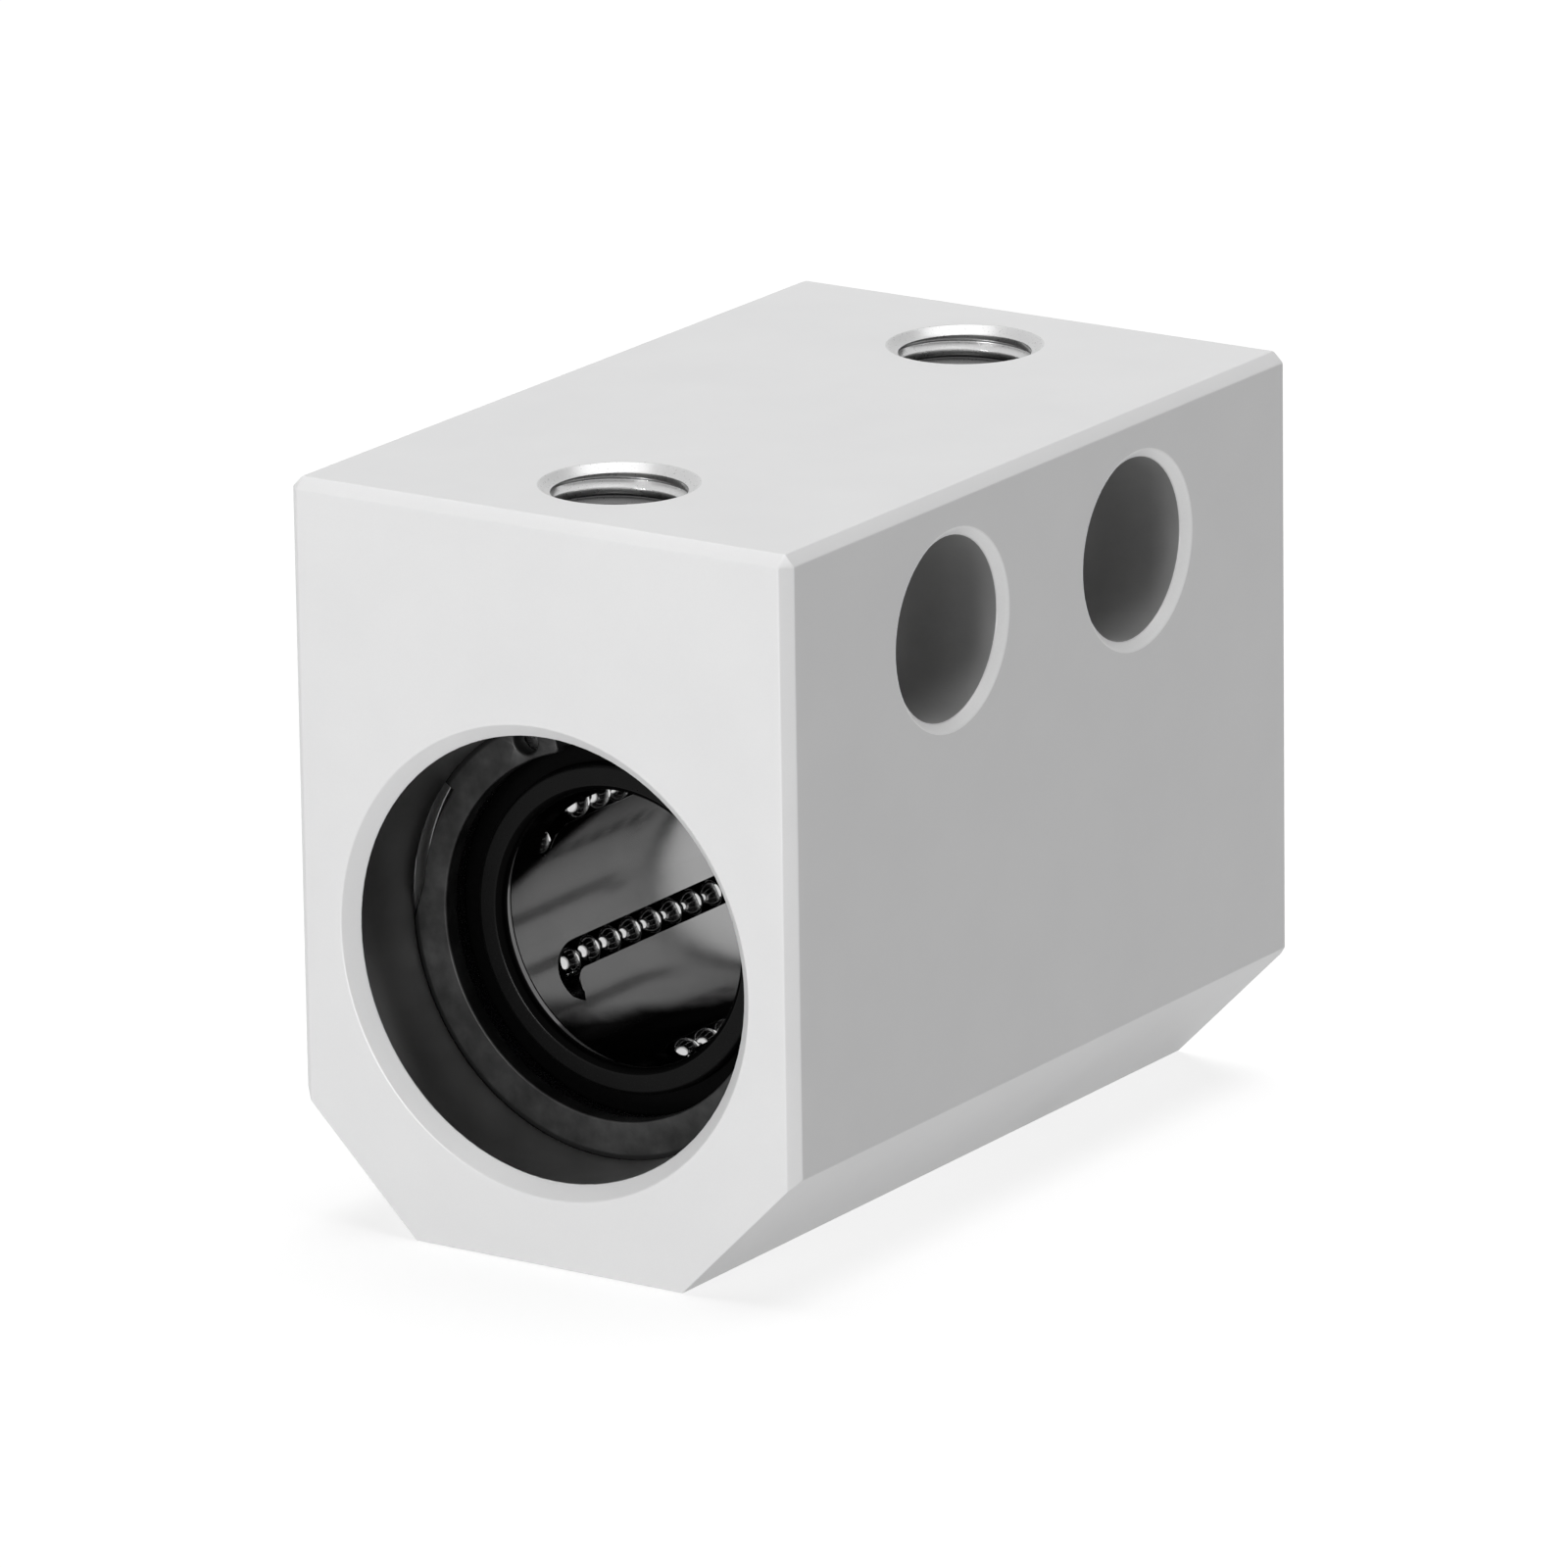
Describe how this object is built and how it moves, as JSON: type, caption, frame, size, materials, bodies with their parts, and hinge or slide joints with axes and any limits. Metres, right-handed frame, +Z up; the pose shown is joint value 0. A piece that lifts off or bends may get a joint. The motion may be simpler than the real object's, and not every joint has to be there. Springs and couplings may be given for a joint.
{
  "type": "linear bearing block",
  "caption": "Tall aluminium block around a sealed recirculating ball bush that runs on a round shaft, with tapped holes in its top and counterbored cross holes.",
  "frame": {"origin": "on the shaft axis, at the middle of the block's length", "axes": "+Y along the shaft; +Z up, to the face with the tapped holes; +X to the side with the counterbores"},
  "size_m": [0.052, 0.081, 0.0675],
  "materials": {
    "anodised_aluminium": "fine matt, clear anodised",
    "bearing_steel": "ground",
    "retainer_polymer": "glossy moulded",
    "ball_steel": "polished",
    "seal_rubber": "moulded, satin",
    "blackened_steel": "blackened",
    "spring_steel": "phosphated and oiled"
  },
  "bodies": {
    "root": {"housing": "anodised_aluminium", "outer_sleeve": "bearing_steel", "ball_retainer": "retainer_polymer", "load_balls_1": "ball_steel", "load_balls_2": "ball_steel", "load_balls_3": "ball_steel", "load_balls_4": "ball_steel", "load_balls_5": "ball_steel", "load_balls_6": "ball_steel", "return_balls_1": "ball_steel", "return_balls_2": "ball_steel", "return_balls_3": "ball_steel", "return_balls_4": "ball_steel", "return_balls_5": "ball_steel", "return_balls_6": "ball_steel", "seal_front": "seal_rubber", "seal_back": "seal_rubber", "end_ring_front": "blackened_steel", "end_ring_back": "blackened_steel", "retaining_ring_front": "spring_steel", "retaining_ring_back": "spring_steel"}
  },
  "joints": []
}
